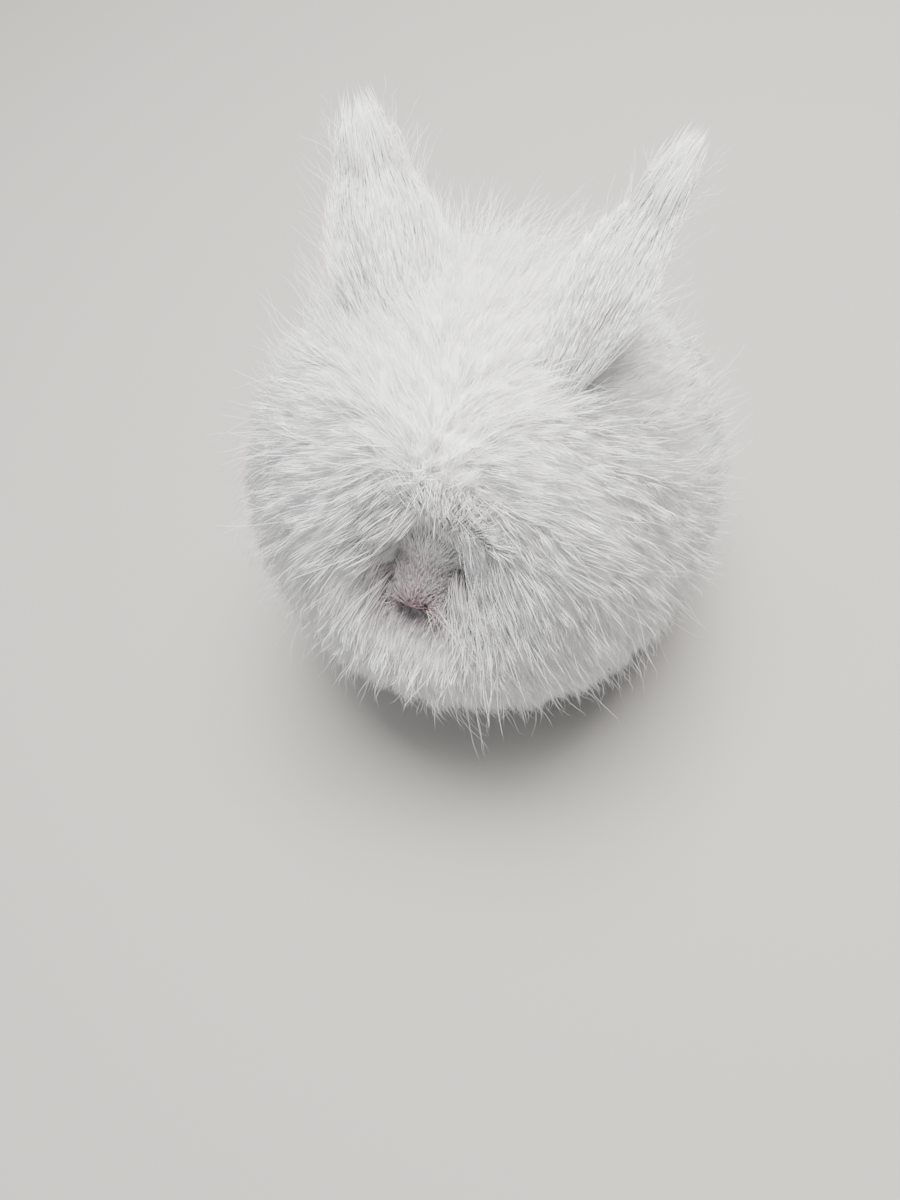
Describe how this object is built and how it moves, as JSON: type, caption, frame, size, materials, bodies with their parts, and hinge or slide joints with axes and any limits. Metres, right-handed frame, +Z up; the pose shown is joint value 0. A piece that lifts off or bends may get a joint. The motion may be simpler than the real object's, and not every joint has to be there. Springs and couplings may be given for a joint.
{
  "type": "angora rabbit",
  "caption": "Life-size long-haired rabbit, crouching in a ball of wool, with tufted ears spread back.",
  "frame": {"origin": "on the ground, under the middle of the whole model's box", "axes": "+Z up, the rabbit faces -Y, +X to its left"},
  "size_m": [0.2414, 0.2876, 0.2936],
  "materials": {
    "wool": "long, soft, matte white wool",
    "foot_fur": "short white fur with horn claws",
    "ear_skin": "thin pink skin under fine white fur",
    "eye": "wet, dark ruby"
  },
  "bodies": {
    "root": {"head": "wool", "neck": "wool", "torso": "wool", "tail": "wool", "ear_left": "ear_skin", "ear_right": "ear_skin", "eye_left": "eye", "eye_right": "eye", "front_leg_left": "foot_fur", "front_leg_right": "foot_fur", "hind_leg_left": "foot_fur", "hind_leg_right": "foot_fur"}
  },
  "joints": []
}
